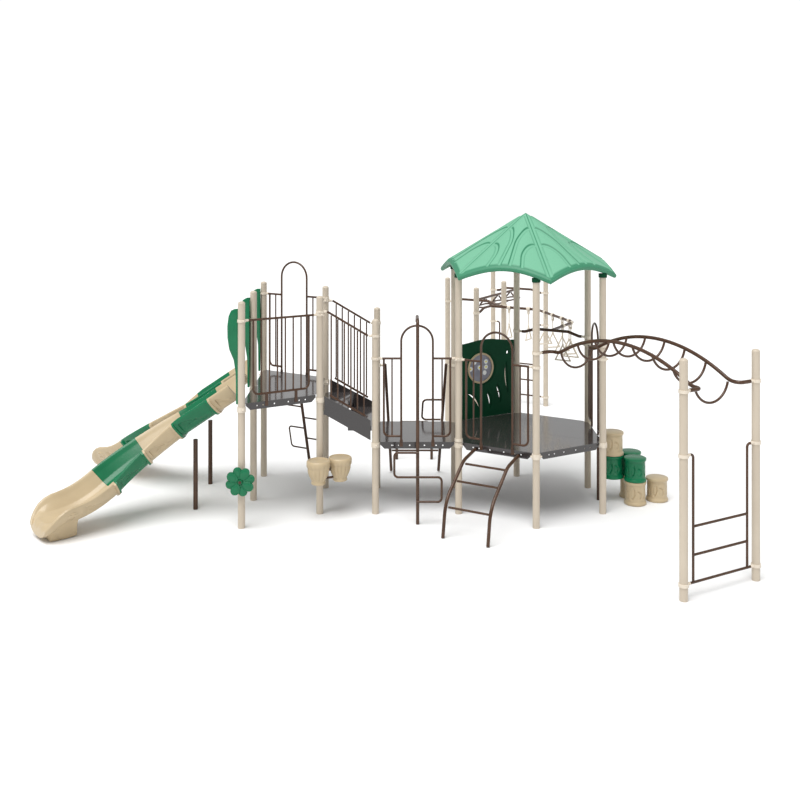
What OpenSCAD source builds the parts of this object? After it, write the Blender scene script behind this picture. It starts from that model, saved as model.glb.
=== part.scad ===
// Play structure of round posts, low and high decks, two turning slides, a hexagonal
// roof and a set of climbers. Every post stands on a triangular and square grid of one
// module. Units are millimetres, +Z is up and the ground is z = 0.

/* [Layout] */
// Distance between neighbouring deck posts
module_len = 1067; // [1065:1:1070]
// Length of the sloping stair between the two deck levels
stair_run = 714; // [710:1:720]
// Distance from the hexagon to the outer posts of the arch ladder
arch_span = 2468; // [2460:1:2476]
// Reach of the hanging track across the two directions of the far square
track_reach_out = 1820; // [1810:1:1830]
track_reach_side = 1794; // [1784:1:1804]
// Length of the loop ladder between the ring corner and the far end posts
loop_span = 1874; // [1864:1:1884]

/* [Posts] */
// Outer diameter of a post
post_d = 88.9; // [88:0.1:90]
// Wall of a post tube
post_wall = 3.2; // [3:0.1:4]
// Height of the posts around the high deck
tall_post_h = 2757; // [2750:1:2770]
// Height of the free posts of the climbers
climber_post_h = 2460; // [2450:1:2470]
// Height of the posts that carry the roof
roof_post_h = 3060; // [3050:1:3070]

/* [Decks] */
// Height of the low decks
low_deck_z = 914; // [912:1:916]
// Height of the high deck
high_deck_z = 1524; // [1520:1:1528]
// Depth of the folded skirt of a deck
skirt_h = 88; // [84:1:92]

/* [Tubes] */
// Diameter of arches, balusters and rungs
tube_d = 28; // [26:1:30]
// Diameter of ladder side rails and tracks
rail_d = 42; // [40:1:44]
// Bend radius of the tubes
bend_r = 70; // [65:1:75]

/* [Slides] */
// Outer width of a slide at its rims
slide_w = 680; // [670:1:690]
// Depth of the slide channel from rim to underside
slide_h = 290; // [285:1:295]

/* [Roof] */
// Radius of the roof to its corner tips
roof_r = 1205; // [1198:1:1212]
// Height of the roof apex
roof_top_z = 3836; // [3826:1:3846]

/* [Hidden] */

$fn = 32;
gap = 0.25;
band_h = 4;
post_r = post_d / 2;
sin60 = sqrt(3) / 2;
tri_h = module_len * sin60;

// Ground point under the centre of the whole structure, seen from the first roof post
centre = [-1042, 1877];

// Roof posts, counter-clockwise from the left front one
post_a = -centre;
post_b = post_a + [tri_h, -module_len / 2];
post_c = post_a + [2 * tri_h, 0];
post_d0 = post_a + [2 * tri_h, module_len];
post_e = post_a + [tri_h, 1.5 * module_len];
post_f = post_a + [0, module_len];
hex_centre = post_a + [tri_h, module_len / 2];

// Square deck and slide tower posts
post_6 = post_a - [module_len, 0];
post_7 = post_f - [module_len, 0];
post_4 = post_6 - [stair_run, 0];
post_5 = post_7 - [stair_run, 0];
post_1 = post_4 + [-tri_h, -module_len / 2];
post_2 = post_4 + [-tri_h, module_len / 2];
post_3 = post_5 + [-tri_h, module_len / 2];

// Directions of the track square and of the arch ladder
out_dir = [0.5, sin60];
side_dir = [-sin60, 0.5];
arch_dir = [0.5, -sin60];

post_r1 = post_b + arch_span * arch_dir;
post_r2 = post_c + arch_span * arch_dir;
track_start = (post_d0 + post_e) / 2;
track_end = track_start + track_reach_out * out_dir + track_reach_side * side_dir;
post_q1 = track_end - out_dir * module_len / 2;
post_q2 = track_end + out_dir * module_len / 2;
post_q0 = post_q2 + side_dir * module_len;
post_q3 = post_q0 + loop_span * out_dir;
post_q4 = post_q2 + loop_span * out_dir;

// ---- tools for tubes and places ----

function unit(v) = v / norm(v);
function flat_angle(v) = atan2(v[1], v[0]);
function turn(a, b, c) = acos(max(-1, min(1, unit(b - a) * unit(c - b))));
function setback(a, b, c, r) = r * tan(turn(a, b, c) / 2);

// Children are drawn with x along the line from p to q, seen from outside the structure
module side(p, q) {
  mid = (p + q) / 2;
  translate([mid[0], mid[1], 0])
    rotate(flat_angle(q - p))
      children();
}

module at(p, z = 0) {
  translate([p[0], p[1], z])
    children();
}

module bar(a, b, d) {
  v = b - a;
  translate(a)
    rotate([0, acos(v[2] / norm(v)), atan2(v[1], v[0])])
      cylinder(d = d, h = norm(v));
}

module elbow(a, b, c, d, r) {
  u = unit(b - a);
  v = unit(c - b);
  w = unit(v - u * (u * v));
  start = b - u * setback(a, b, c, r);
  middle = start + w * r;
  z = cross(-w, u);
  multmatrix([[-w[0], u[0], z[0], middle[0]],
              [-w[1], u[1], z[1], middle[1]],
              [-w[2], u[2], z[2], middle[2]],
              [0, 0, 0, 1]])
    rotate_extrude(angle = turn(a, b, c), $fn = r > 600 ? 400 : 48)
      translate([r, 0])
        circle(d = d, $fn = 32);
}

// Round tube through pts; r is one bend radius, or a list with one for each bend
module bent_tube(pts, d, r = bend_r) {
  last = len(pts) - 1;
  radius = [for (i = [0 : last]) is_list(r) ? r[i - 1] : r];
  for (i = [0 : last - 1]) {
    u = unit(pts[i + 1] - pts[i]);
    cut_a = i == 0 ? 0 : setback(pts[i - 1], pts[i], pts[i + 1], radius[i]);
    cut_b = i == last - 1 ? 0 : setback(pts[i], pts[i + 1], pts[i + 2], radius[i + 1]);
    bar(pts[i] + u * cut_a, pts[i + 1] - u * cut_b, d);
  }
  for (i = [1 : last - 1]) {
    u = unit(pts[i] - pts[i - 1]);
    v = unit(pts[i + 1] - pts[i]);
    cut = setback(pts[i - 1], pts[i], pts[i + 1], radius[i]);
    elbow(pts[i - 1], pts[i], pts[i + 1], d, radius[i]);
    weld_band(pts[i] - u * cut, u, d);
    weld_band(pts[i] + v * cut, v, d);
  }
}

// Thin band over the joint between a straight tube and its bend
module weld_band(p, u, d)
  bar(p - u * band_h / 2, p + u * band_h / 2, d + 1);

// ---- posts, caps and clamps ----

cap_h = 34;
foot_t = 6;

module post(p, h) {
  at(p)
    difference() {
      cylinder(r = post_r, h = h);
      translate([0, 0, foot_t])
        cylinder(r = post_r - post_wall, h = h);
    }
}

module cap(p, h) {
  at(p, h + gap)
    rotate_extrude()
      polygon([[0, 0], [post_r, 0], [post_r, 8], [post_r - 8, 22], [post_r - 26, cap_h - 4],
               [0, cap_h - 2]]);
}

clamp_h = 34;
deck_clamp_h = 62;
clamp_r = post_r + 9;
clamp_reach = 88;

// Split collar with one boss towards each heading in the list
module clamp(p, z, headings = [], h = clamp_h) {
  at(p, z - h / 2)
    difference() {
      union() {
        cylinder(r = clamp_r, h = h);
        for (a = headings)
          rotate(a)
            translate([0, 0, h / 2])
              rotate([0, 90, 0])
                cylinder(d = clamp_h - 2, h = clamp_reach - gap);
      }
      translate([0, 0, -1])
        cylinder(r = post_r + gap, h = h + 2);
    }
}

// Clamp at p that holds a level bar running to q, and the one at q
module clamp_pair(p, q, z) {
  clamp(p, z, [flat_angle(q - p)]);
  clamp(q, z, [flat_angle(p - q)]);
}

module span_bar(p, q, z, d) {
  u = unit(q - p);
  a = p + u * clamp_reach;
  b = q - u * clamp_reach;
  bar([a[0], a[1], z], [b[0], b[1], z], d);
}

low_post_list = [post_6, post_7];
tall_post_list = [post_1, post_2, post_3, post_4, post_5];
roof_post_list = [post_a, post_b, post_c, post_d0, post_e, post_f];
arch_post_list = [post_r1, post_r2];
track_post_list = [post_q1, post_q2, post_q0];
far_post_list = [post_q3, post_q4];

module slide_tower_posts() color("tan") for (p = tall_post_list) post(p, tall_post_h);
module square_deck_posts() color("tan") for (p = low_post_list) post(p, climber_post_h);
module roof_posts() color("tan") for (p = roof_post_list) post(p, roof_post_h);
module arch_ladder_posts() color("tan") for (p = arch_post_list) post(p, climber_post_h);
module track_posts() color("tan") for (p = track_post_list) post(p, climber_post_h);
module far_end_posts() color("tan") for (p = far_post_list) post(p, climber_post_h);

module post_caps() color("tan") {
  for (p = tall_post_list)
    cap(p, tall_post_h);
  for (p = concat(low_post_list, arch_post_list, track_post_list, far_post_list))
    cap(p, climber_post_h);
}

// ---- decks ----

deck_t = 5;
deck_inset = 2;
skirt_hole_x = [-330, -245, -95, 95, 245, 330];
deck_notch_r = clamp_r + 4;
clamp_drop = [37, 67];
bolt_hole_r = 6.5;
bolt_span = 620;

module deck_clamps() color("tan") {
  for (p = concat(roof_post_list, low_post_list))
    clamp(p, low_deck_z - clamp_drop[0], h = deck_clamp_h);
  for (p = tall_post_list)
    clamp(p, high_deck_z - clamp_drop[1], h = deck_clamp_h);
  clamp(post_a, low_deck_z + 28);
}

// Folded deck: a plate with a skirt all round, notched for the posts
module deck(corners, posts, z) {
  translate([0, 0, z - skirt_h])
    difference() {
      linear_extrude(skirt_h)
        polygon(corners);
      translate([0, 0, -deck_t])
        linear_extrude(skirt_h)
          polygon([for (i = [0 : len(corners) - 1]) inner_corner(corners, i, deck_t)]);
      for (p = posts)
        translate([p[0], p[1], -1]) {
          cylinder(r = deck_notch_r, h = skirt_h + 2);
          cylinder(r1 = deck_notch_r + 58, r2 = deck_notch_r - 2, h = 60);
        }
      for (i = [0 : len(corners) - 1])
        skirt_holes(corners[i], corners[(i + 1) % len(corners)]);
    }
}

// Row of round holes through one side of a skirt
module skirt_holes(p, q)
  if (norm(q - p) < 1.5 * module_len)
    translate([(p[0] + q[0]) / 2, (p[1] + q[1]) / 2, skirt_h / 2])
      rotate(flat_angle(q - p))
        for (x = skirt_hole_x)
          translate([x, 0, 0])
            rotate([90, 0, 0])
              cylinder(r = 9, h = 4 * deck_t, center = true);

// Corner i of a counter-clockwise outline moved inwards by t from both its sides
function inner_corner(pts, i, t) =
  let (n = len(pts),
       u = unit(pts[i] - pts[(i + n - 1) % n]),
       v = unit(pts[(i + 1) % n] - pts[i]),
       h = acos(u * v) / 2)
  pts[i] + unit([-u[1] - v[1], u[0] + v[0]]) * t / cos(h);

function inset(pts, t) = [for (i = [0 : len(pts) - 1]) inner_corner(pts, i, t)];

module high_deck() color("dimgray")
  deck(inset([post_1, post_4, post_5, post_3, post_2], deck_inset), tall_post_list, high_deck_z);

module square_deck() color("dimgray")
  difference() {
    deck(inset([post_6, post_a, post_f, post_7], deck_inset),
         [post_6, post_a, post_f, post_7], low_deck_z);
    side(post_6, post_a)
      for (x = [-1, 1])
        translate([x * bolt_span / 2, -1, low_deck_z - skirt_h / 2])
          rotate([-90, 0, 0])
            cylinder(r = bolt_hole_r, h = 20);
  }

module hex_deck_front() color("dimgray")
  deck(inset([post_f, post_a, post_b, post_c], deck_inset),
       [post_f, post_a, post_b, post_c], low_deck_z);

module hex_deck_back() color("dimgray")
  deck(inset([post_c, post_d0, post_e, post_f], deck_inset),
       [post_c, post_d0, post_e, post_f], low_deck_z);

// ---- stair between the decks ----

tread_z = [1320, 1117];
tread_run = stair_run / 2;
tread_t = 60;
stringer_t = 6;
stringer_x = stair_run / 2 - 62;

// Two deep treads in line with the posts, cut away around them
module stair_treads() color("dimgray")
  at(post_4)
    for (i = [0, 1])
      difference() {
        translate([i * tread_run + 1, stringer_t, tread_z[i] - tread_t])
          difference() {
            cube([tread_run - 2, module_len - 2 * stringer_t, tread_t]);
            translate([deck_t, deck_t, -deck_t])
              cube([tread_run - 2 - 2 * deck_t, module_len - 2 * (stringer_t + deck_t), tread_t]);
          }
        for (y = [0, module_len])
          translate([i * stair_run, y, tread_z[i] - tread_t - 1])
            cylinder(r = post_r + 4, h = tread_t + 2);
      }

module stringer(p, q)
  side(p, q)
    rotate([90, 0, 0])
      translate([0, 0, -stringer_t / 2])
        linear_extrude(stringer_t - gap)
          polygon([[-stringer_x, 1267], [stringer_x, 934], [stringer_x, 1190], [-stringer_x, 1497]]);

module stair_stringers() color("dimgray") {
  stringer(post_4, post_6);
  stringer(post_5, post_7);
}

stair_rail_z = [2585, 2276];
stair_low_z = [1532, 1229];
stair_rail_x = stair_run / 2 - clamp_reach - 8;
baluster_count = 6;
baluster_step = 84;

function along(z, x) = z[0] + (z[1] - z[0]) * (x + stair_rail_x) / (2 * stair_rail_x);

module stair_barrier(p, q) side(p, q) {
  end_x = (baluster_count - 1) * baluster_step / 2;
  bar([-stair_rail_x, 0, stair_rail_z[0]], [stair_rail_x, 0, stair_rail_z[1]], tube_d);
  bar([-end_x - 20, 0, along(stair_low_z, -end_x - 20)],
      [end_x + 20, 0, along(stair_low_z, end_x + 20)], tube_d);
  for (i = [0 : baluster_count - 1])
    let (x = i * baluster_step - end_x)
      bar([x, 0, along(stair_low_z, x) + 0.72 * tube_d], [x, 0, along(stair_rail_z, x) - 0.72 * tube_d],
          tube_d - 8);
}

module stair_barriers() color("saddlebrown") {
  stair_barrier(post_4, post_6);
  stair_barrier(post_5, post_7);
}

// ---- barrier and entries ----

half_span = module_len / 2 - clamp_reach;
foot_drop = 60;

// Welded tab that bolts the foot of a barrier to the deck skirt
module skirt_tab(x, deck_z, top_z)
  translate([x - 20, deck_inset - gap - 5, deck_z - foot_drop])
    cube([40, 5, top_z - deck_z + foot_drop]);

tower_rail_z = 2549;
tower_low_z = high_deck_z + 98;
tower_step = 108;
tower_end_x = 3.5 * tower_step;

module tower_barrier() color("saddlebrown") {
  span_bar(post_1, post_4, tower_rail_z, tube_d);
  side(post_1, post_4) {
    top_z = tower_rail_z - tube_d / 2 - gap;
    bent_tube([[-tower_end_x, 0, top_z], [-tower_end_x, 0, tower_low_z],
               [tower_end_x, 0, tower_low_z], [tower_end_x, 0, top_z]], tube_d);
    for (i = [-2.5 : 1 : 2.5])
      bar([i * tower_step, 0, tower_low_z + tube_d / 2 + gap], [i * tower_step, 0, top_z], tube_d - 8);
    for (x = [-200, 200])
      skirt_tab(x, high_deck_z, tower_low_z);
  }
}

entry_low = 75;
entry_outer_x = 426;
entry_inner_x = 321;

// Arch between posts p and q: a hoop bolted to the skirt, and a bent baluster, a straight
// baluster and a short top rail on each side of it
module entry(p, q, deck_z, leg_x, top_z, rail_z) side(p, q) {
  low_z = deck_z + entry_low;
  under_rail = rail_z - tube_d / 2 - gap;
  beside_leg = leg_x + tube_d / 2 + gap;
  bent_tube([[-leg_x, 0, deck_z + 10], [-leg_x, 0, top_z], [leg_x, 0, top_z], [leg_x, 0, deck_z + 10]],
            tube_d, leg_x - 1);
  for (s = [-1, 1]) {
    bar([s * half_span, 0, rail_z], [s * beside_leg, 0, rail_z], tube_d);
    bent_tube([[s * entry_outer_x, 0, under_rail], [s * entry_outer_x, 0, low_z],
               [s * beside_leg, 0, low_z]], tube_d);
    bar([s * entry_inner_x, 0, low_z + tube_d / 2 + gap], [s * entry_inner_x, 0, under_rail], tube_d - 8);
    skirt_tab(s * leg_x, deck_z, deck_z + 30);
  }
}

hex_rail_z = 1975;
pole_rail_z = 1985;
tower_entry_rail_z = 2620;

module hex_entry() color("saddlebrown") entry(post_a, post_b, low_deck_z, 216, 2360, hex_rail_z);
module pole_entry() color("saddlebrown") entry(post_6, post_a, low_deck_z, 203, 2405, pole_rail_z);
module stump_entry() color("saddlebrown") entry(post_c, post_d0, low_deck_z, 216, 2350, hex_rail_z);
module tower_entry() color("saddlebrown")
  entry(post_5, post_3, high_deck_z, 216, 3090, tower_entry_rail_z);

// ---- slides ----

slide_x = post_1[0] - 50;
straight_run = 640;
slide_turn_r = 1450;
slide_drop = 0.665;
slide_base = 52;
slide_floor_z = 82;
foot_depth = 128;
joint_s = [0, 262, 724, 1180, 1648];
level_run = 730;
slide_pitch = atan(slide_drop);
flange_t = 22;
flange_grow = 26;

function past_joint(s) = max(0, s - joint_s[4]);
function slide_turn(s) = max(0, min(s, joint_s[4]) - straight_run) / slide_turn_r * 180 / PI;
function level_part(s) = min(1, past_joint(s) / level_run);
function slide_point(s) =
  let (a = slide_turn(s), tail = past_joint(s), run = min(s, straight_run))
  [slide_x - run - slide_turn_r * sin(a) - tail * cos(a),
   -slide_turn_r * (1 - cos(a)) - tail * sin(a),
   high_deck_z - 55 - slide_drop * min(s, joint_s[4])
     - slide_drop * level_run * (level_part(s) - level_part(s) * level_part(s) / 2)];
function pitch_at(s) = slide_pitch * (1 - level_part(s));

// Half outline of the channel for a ring [distance, flange growth, rim share, dip, narrowing,
// foot]; with foot 1 the middle of the underside goes down to the ground
function channel_half(ring) =
  let (grow = ring[1], w = slide_w / 2 - ring[4], h = slide_h * ring[2], low = slide_base - ring[3],
       wall = h - low, f = min(slide_floor_z, h - 14), foot = ring[5] * (low + foot_depth) + grow)
  [[0, low - foot], [w - 170, low - foot], [w - 104 + grow / 2, low + 0.12 * wall - grow],
   [w - 50 + grow, low + 0.35 * wall], [w - 12 + grow, low + 0.7 * wall], [w + grow, low + 0.88 * wall],
   [w - 2 + grow / 2, low + 0.96 * wall], [w - 18, h], [w - 36, low + 0.96 * wall],
   [w - 62, low + 0.75 * wall], [w - 150, f + 0.15 * (h - f)], [w - 185, f], [0, f - 4]];
function channel(ring) =
  let (half = channel_half(ring), n = len(half))
  concat(half, [for (i = [n - 2 : -1 : 1]) [-half[i][0], half[i][1]]]);
function place_ring(s, ring) =
  let (p = slide_point(s), a = slide_turn(s), tilt = pitch_at(s))
  [for (q = ring)
    [p[0] + q[0] * sin(a) - q[1] * sin(tilt) * cos(a),
     p[1] - q[0] * cos(a) - q[1] * sin(tilt) * sin(a),
     p[2] + q[1] * cos(tilt)]];

// Triangles of the end face of a ring with n points, outside and inside walls paired
function end_face(n, first) =
  let (half = n / 2, steps = half / 2 - 1,
       right = concat([for (k = [0 : steps - 1]) [k, k + 1, half - k - 1]],
                      [for (k = [0 : steps]) [k, half - k - 1, half - k]]),
       left = [for (f = right) [(n - f[2]) % n, (n - f[1]) % n, (n - f[0]) % n]])
  [for (f = concat(right, left)) [for (j = f) j + first]];

// Closed solid through rings of equal length
module skin(rings) {
  n = len(rings[0]);
  last = len(rings) - 1;
  sides = [for (i = [0 : last - 1], j = [0 : n - 1], k = [0, 1])
    let (a = i * n + j, b = i * n + (j + 1) % n)
    k == 0 ? [a, b, b + n] : [a, b + n, a + n]];
  polyhedron([for (ring = rings) each ring],
             concat([for (f = end_face(n, 0)) [f[2], f[1], f[0]]], sides, end_face(n, last * n)));
}

// Rings of section i
function section_rings(i) =
  let (a = joint_s[i] + gap, b = joint_s[i + 1] - gap, f = flange_t, grow = i == 0 ? 1 : flange_grow)
  [[a, grow, 1, 0, 0, 0], [a + f, grow, 1, 0, 0, 0], [a + f + 6, 0, 1, 0, 0, 0],
   [(2 * a + b) / 3, 0, 1, 0, 0, 0], [(a + 2 * b) / 3, 0, 1, 0, 0, 0], [b - f - 6, 0, 1, 0, 0, 0],
   [b - f, flange_grow, 1, 0, 0, 0], [b, flange_grow, 1, 0, 0, 0]];
exit_rings =
  let (a = joint_s[4] + gap, f = flange_t)
  [[a, flange_grow, 1, 0, 0, 0], [a + f, flange_grow, 1, 0, 0, 0], [a + f + 6, 0, 1, 0, 0, 0],
   [a + 180, 0, 1, 0, 0, 0], [a + 360, 0, 1, 0, 0, 0], [a + 545, 0, 1, 0, 0, 0], [a + 575, 0, 1, 0, 0, 1],
   [a + 635, 0, 1, 0, 0, 1], [a + 700, 0, 0.97, 8, 0, 1], [a + 770, 0, 0.88, 30, 2, 1],
   [a + 840, 0, 0.72, 65, 8, 1], [a + 875, 0, 0.6, 88, 20, 1], [a + 905, 0, 0.48, 105, 32, 0],
   [a + 942, 0, 0.3, 125, 58, 0], [a + 975, 0, 0.12, 130, 104, 0]];

module slide_part(rings)
  translate([0, post_a[1], 0])
    skin([for (r = rings) place_ring(r[0], channel(r))]);

module back_slide()
  translate([0, 2 * hex_centre[1], 0])
    mirror([0, 1, 0])
      children();

module tan_sections() {
  for (i = [0, 2])
    slide_part(section_rings(i));
  slide_part(exit_rings);
}

module green_sections()
  for (i = [1, 3])
    slide_part(section_rings(i));

module slide_front_tan() color("wheat") tan_sections();
module slide_front_green() color("seagreen") green_sections();
module slide_back_tan() color("wheat") back_slide() tan_sections();
module slide_back_green() color("seagreen") back_slide() green_sections();

leg_d = 60;
leg_s = 650;
leg_side = 160;
leg_top = [905, 890];

module slide_legs() color("saddlebrown")
  for (i = [0, 1])
    translate([slide_x - leg_s, post_a[1] + i * module_len + leg_side, 0])
      cylinder(d = leg_d, h = leg_top[i]);

wing_t = 90;
wing_pts = [[-1, high_deck_z - 10], [-30, high_deck_z - 10], [-34, 1896], [-60, 2060], [-118, 2190],
            [-136, 2330], [-138, 2480], [-122, 2600], [-92, 2668], [-50, 2690], [-1, 2680]];

// Hood wing on the slide side of a post
module wing(p, y)
  at(p)
    translate([-post_r, y + wing_t / 2, 0])
      rotate([90, 0, 0])
        linear_extrude(wing_t)
          polygon(wing_pts);

// Room in a wing for the rail clamp on its post
module clamp_room(p, z)
  at(p, z - clamp_h / 2 - 1)
    cylinder(r = clamp_r + 1, h = clamp_h + 2);

module slide_hoods() color("seagreen")
  difference() {
    union() {
      wing(post_1, 40);
      wing(post_2, -50);
      wing(post_2, 50);
      wing(post_3, -40);
    }
    clamp_room(post_1, tower_rail_z);
    clamp_room(post_3, tower_entry_rail_z);
  }

// ---- climbers ----

pole_y = -403;
pole_top_z = 2531;
loop_z = [897, 593, 288];
loop_x = [-290, 298];
loop_y = pole_y - rail_d / 2 - tube_d / 2 - gap;

module pole_climber() color("saddlebrown") side(post_6, post_a) {
  bent_tube([[0, pole_y, 0], [0, pole_y, pole_top_z], [0, 0, pole_top_z],
             [0, 0, 2440 + tube_d / 2 + gap]], rail_d, 60);
  bent_tube([[20, loop_y, loop_z[0]], [loop_x[0], loop_y, loop_z[0]],
             [loop_x[0], loop_y, loop_z[1]], [loop_x[1], loop_y, loop_z[1]],
             [loop_x[1], loop_y, loop_z[2]], [-20, loop_y, loop_z[2]]], tube_d, 50);
}

climb_x = 297;
climb_foot = -890;

module arched_climber() color("saddlebrown") side(post_a, post_b) {
  for (s = [-1, 1])
    bent_tube([[s * climb_x, -8, low_deck_z - 60], [s * climb_x, -330, low_deck_z - 120],
               [s * climb_x, climb_foot + 70, 420], [s * climb_x, climb_foot, 4]], rail_d, [300, 420]);
  for (q = [[-330, low_deck_z - 160], [-560, 600], [-790, 345]])
    bar([-climb_x + rail_d / 2 + 4, q[0], q[1]], [climb_x - rail_d / 2 - 4, q[0], q[1]], tube_d);
}

// Leaning pole behind the high deck with loops on alternate sides
lean_top = [0, -87, 1480];
lean_foot = [0, -421, 0];
lean_loops = [[1, 384], [-1, 546], [1, 1012]];
lean_loop_h = 307;
lean_loop_reach = 280;
function on_lean(z, x) = [x, (lean_foot + (lean_top - lean_foot) * z / lean_top[2])[1], z];

module tower_ladder() color("saddlebrown") side(post_5, post_3) {
  bar(on_lean(5, 0), lean_top, rail_d);
  bar([0, -6, lean_top[2] - 20], [0, lean_top[1] + rail_d / 2 + 2, lean_top[2] - 20], 26);
  for (q = lean_loops)
    let (near = q[0] * (rail_d / 2 + gap), far = q[0] * lean_loop_reach, top = q[1] + lean_loop_h)
    bent_tube([on_lean(q[1], near), on_lean(q[1], far), on_lean(top, far), on_lean(top, near)],
              tube_d - 6, 45);
}

back_rail_top = [module_len / 2 - 110, -64, 1691];
back_rail_foot = [343, -720, 0];
back_loop_z = [841, 1150];
low_bar_y = -1370;
low_bar_x = 264;
low_bar_z = 560;

// Point of the back rail at height z
function on_back_rail(z) =
  let (share = (back_rail_top[2] - z) / back_rail_top[2])
  back_rail_top + (back_rail_foot - back_rail_top) * share;

// Rails leaning from the posts to the ground, with a grab loop, rungs and a low bar behind
module back_climber() color("saddlebrown") side(post_f, post_7) {
  for (s = [-1, 1])
    bar([s * back_rail_foot[0], back_rail_foot[1] - 6, rail_d / 2 + 1],
        [s * back_rail_top[0], back_rail_top[1], back_rail_top[2]], rail_d);
  for (z = [350, 640]) {
    q = on_back_rail(z);
    bar([-q[0] + rail_d / 2 + 4, q[1], z], [q[0] - rail_d / 2 - 4, q[1], z], tube_d);
  }
  for (s = [-1])
    let (a = on_back_rail(back_loop_z[0]), b = on_back_rail(back_loop_z[1]), in = 290)
    bent_tube([[s * (a[0] - rail_d / 2 - 4), a[1], a[2]], [s * (a[0] - in), a[1], a[2]],
               [s * (b[0] - in), b[1], b[2]], [s * (b[0] - rail_d / 2 - 4), b[1], b[2]]], tube_d, 60);
  bent_tube([[-low_bar_x, low_bar_y, 0], [-low_bar_x, low_bar_y, low_bar_z],
             [low_bar_x, low_bar_y, low_bar_z], [low_bar_x, low_bar_y, 0]], rail_d, 90);
}

// ---- stumps ----

stump_d = 262;
stump_flange_d = 292;
stump_h = 305;
stump_flange_h = 40;
stump_x = [235, 502, 827];
stump_side = 148;

// One moulded stump with a flange at both ends
module stump(x, y, z)
  at(post_c + [x, module_len / 2 + y], z)
    rotate_extrude()
      polygon([[0, 0], [stump_flange_d / 2, 0], [stump_flange_d / 2, stump_flange_h],
               [stump_d / 2, stump_flange_h + 14], [stump_d / 2, stump_h - stump_flange_h - 14],
               [stump_flange_d / 2, stump_h - stump_flange_h], [stump_flange_d / 2, stump_h - gap],
               [0, stump_h - gap]]);

module tan_stumps() color("tan") {
  stump(stump_x[0], 0, 2 * stump_h);
  for (s = [-1, 1])
    stump(stump_x[1], s * stump_side, 0);
  stump(stump_x[2], 0, 0);
}

module green_stumps() color("seagreen") {
  stump(stump_x[0], 0, stump_h);
  for (s = [-1, 1])
    stump(stump_x[1], s * stump_side, stump_h);
}

// Leg beside the deck edge with two arms that hold the hanging stumps
module stump_leg() color("saddlebrown")
  at(post_c + [44, module_len / 2]) {
    cylinder(d = rail_d, h = low_deck_z - skirt_h - 12);
    for (z = [1.5 * stump_h, 2.5 * stump_h - 20])
      if (z < low_deck_z - skirt_h - 30)
        bar([10, 0, z], [stump_x[0] - 44 - stump_d / 2 - gap, 0, z], 30);
  }

// ---- overhead climbers ----

arch_z = 2150;
arch_slope = 26.5;
arch_x = module_len / 2 - 250;
arch_lead = 130;
arch_bends = [60, 250, 2215, 250, 60];
arch_vertex_z = arch_z + (arch_span / 2 - arch_lead) * tan(arch_slope);
arch_pts = [[0, arch_z], [arch_lead, arch_z], [arch_span / 2, arch_vertex_z],
            [arch_span - arch_lead, arch_z], [arch_span, arch_z]];

module arch_ladder_rails() color("saddlebrown") side(post_b, post_c)
  for (s = [-1, 1])
    bent_tube(concat([[s * half_span, 0, arch_z]],
                     [for (q = arch_pts) [s * arch_x, -q[0], q[1]]],
                     [[s * half_span, -arch_span, arch_z]]),
              rail_d, arch_bends);

rung_count = 8;
rung_sag = 200;
rung_half = arch_x - rail_d / 2 - tube_d / 2 - 1;
rung_r = (rung_half * rung_half + rung_sag * rung_sag) / (2 * rung_sag);
rung_angle = asin(rung_half / rung_r);
arch_peak_z = arch_vertex_z - arch_bends[2] * (1 / cos(arch_slope) - 1);
function arch_height(y) = arch_peak_z - arch_bends[2]
  + sqrt(arch_bends[2] * arch_bends[2] - (y - arch_span / 2) * (y - arch_span / 2));

module arch_ladder_rungs() color("saddlebrown") side(post_b, post_c)
  for (i = [0 : rung_count - 1])
    let (y = arch_lead + i * (arch_span - 2 * arch_lead) / (rung_count - 1))
    translate([0, -y, arch_height(y) + rung_r - rung_sag])
      rotate([90, 0, 0])
        rotate(-90 - rung_angle)
          rotate_extrude(angle = 2 * rung_angle)
            translate([rung_r, 0])
              circle(d = tube_d);

end_rung_z = [160, 443, 738];
end_top_z = 1485;
end_x = module_len / 2 - 145;

// Low ladder between two end posts: two bent side tubes and three rungs
module end_ladder(p, q) {
  span_bar(p, q, end_rung_z[0], tube_d);
  side(p, q) {
    for (s = [-1, 1])
      bent_tube([[s * half_span, 0, end_top_z], [s * end_x + s * 10, 0, end_top_z],
                 [s * end_x + s * 10, 0, end_rung_z[0] + tube_d / 2 + gap]], tube_d, 36);
    for (i = [1, 2])
      bar([-end_x + 6, 0, end_rung_z[i]], [end_x - 6, 0, end_rung_z[i]], tube_d);
  }
}

module right_end_ladder() color("saddlebrown") end_ladder(post_r1, post_r2);
module far_end_ladder() color("saddlebrown") end_ladder(post_q4, post_q3);

track_z = 2130;
header_joggle = 50;

// Header tube between two posts, dropped at its ends to the clamps
module header(p, q) side(p, q) {
  low = track_z - header_joggle;
  bent_tube([[-half_span, 0, low], [-half_span + 40, 0, low], [-half_span + 200, 0, track_z],
             [half_span - 200, 0, track_z], [half_span - 40, 0, low], [half_span, 0, low]], rail_d, 90);
}

module header_bars() color("saddlebrown") {
  header(post_d0, post_e);
  header(post_q1, post_q2);
  header(post_q2, post_q0);
  header(post_q4, post_q3);
}

track_corner = 850;
track_bend_r = 120;
track_gap = rail_d / 2 + gap;
function on_track(a, b) = concat(track_start + a * out_dir + b * side_dir, [track_z]);
track_pts = [on_track(track_gap, 0), on_track(track_corner, 0),
             on_track(track_reach_out, track_reach_out - track_corner),
             on_track(track_reach_out, track_reach_side - track_gap)];

module track_rail() color("saddlebrown") bent_tube(track_pts, rail_d, track_bend_r);

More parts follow.
